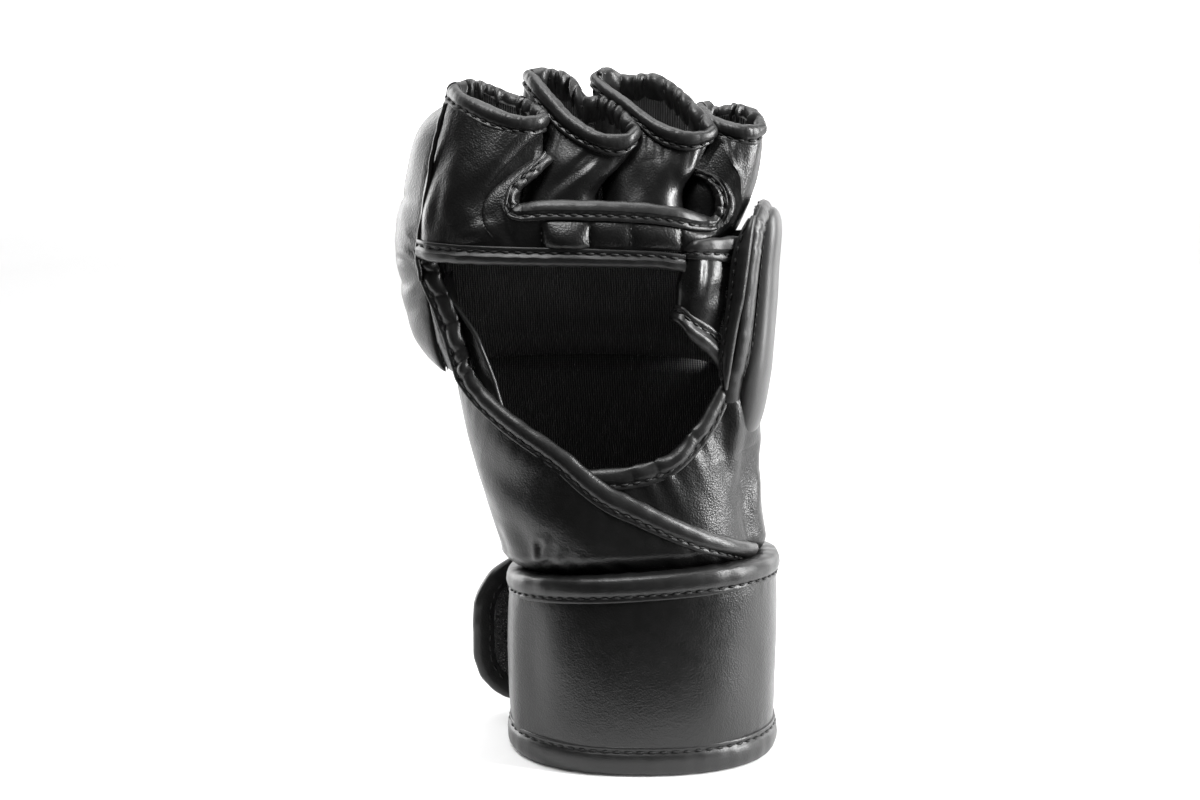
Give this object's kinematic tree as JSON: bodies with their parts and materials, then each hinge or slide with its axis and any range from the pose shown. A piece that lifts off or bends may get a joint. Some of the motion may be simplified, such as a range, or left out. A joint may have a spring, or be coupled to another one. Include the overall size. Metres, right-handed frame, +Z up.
{
  "type": "mixed martial arts glove",
  "caption": "Open-palm grappling glove for the right hand with a padded knuckle guard, bound finger stalls, thumb guard and wrap-round wrist strap, standing on its cuff.",
  "frame": {"origin": "middle of the wrist opening, in the plane of the cuff's bottom rim that the glove stands on", "axes": "+Z up along the hand towards the fingers, +X towards the thumb side, -Y the palm side"},
  "size_m": [0.1358, 0.0855, 0.2446],
  "materials": {
    "leather": "satin black synthetic leather with a fine grain",
    "binding": "thin satin black leather edge binding",
    "lining": "black ribbed textile",
    "foam": "soft closed-cell foam, hidden",
    "pile": "black looped pile",
    "hooks": "black hook tape"
  },
  "bodies": {
    "glove": {"wrist_sleeve": "leather", "sleeve_lining": "lining", "strap_anchor_shell": "leather", "strap_anchor_foam": "foam", "strap_anchor_lining": "lining", "strap_anchor_top_binding": "binding", "strap_anchor_base_binding": "binding", "loop_panel": "pile", "palm_flap_outer": "leather", "palm_flap_outer_binding": "binding", "palm_flap_inner": "leather", "palm_flap_inner_binding": "binding", "back_hand_shell": "leather", "back_hand_foam": "foam", "back_hand_lining": "lining", "knuckle_pad_shell": "leather", "knuckle_pad_foam": "foam", "knuckle_pad_lining": "lining", "palm_bar_shell": "leather", "palm_bar_cells": "foam", "palm_bar_upper_binding": "binding", "palm_bar_lower_binding": "binding", "finger_gussets": "leather", "pinky_stall": "leather", "pinky_lining": "lining", "pinky_rim": "binding", "ring_stall": "leather", "ring_lining": "lining", "ring_rim": "binding", "middle_stall": "leather", "middle_lining": "lining", "middle_rim": "binding", "index_stall": "leather", "index_lining": "lining", "index_rim": "binding"},
    "strap_wrap": {"strap_wrap_shell": "leather", "strap_wrap_foam": "foam", "strap_wrap_lining": "lining", "strap_wrap_top_binding": "binding", "strap_wrap_base_binding": "binding"},
    "strap_tab": {"strap_tab_shell": "leather", "strap_tab_binding": "binding", "hook_pad": "hooks"},
    "thumb": {"thumb_panel": "leather", "thumb_panel_binding": "binding", "thumb_pad_shell": "leather", "thumb_pad_foam": "foam", "thumb_loop": "leather", "thumb_loop_upper_binding": "binding", "thumb_loop_lower_binding": "binding"}
  },
  "joints": [
    {"name": "strap_unwrap", "type": "hinge", "parent": "glove", "child": "strap_wrap", "pos_m": [0.0458, 0.0154, 0.035], "axis": [0, 0, -1], "range_deg": [0, 100]},
    {"name": "tab_peel", "type": "hinge", "parent": "strap_wrap", "child": "strap_tab", "pos_m": [-0.0207, 0.0376, 0.035], "axis": [0, 0, -1], "range_deg": [0, 75]},
    {"name": "thumb_swing", "type": "hinge", "parent": "glove", "child": "thumb", "pos_m": [0.041, -0.005, 0.116], "axis": [0, 1, 0], "range_deg": [0, 20], "stiffness_Nm_per_rad": 0.08}
  ]
}
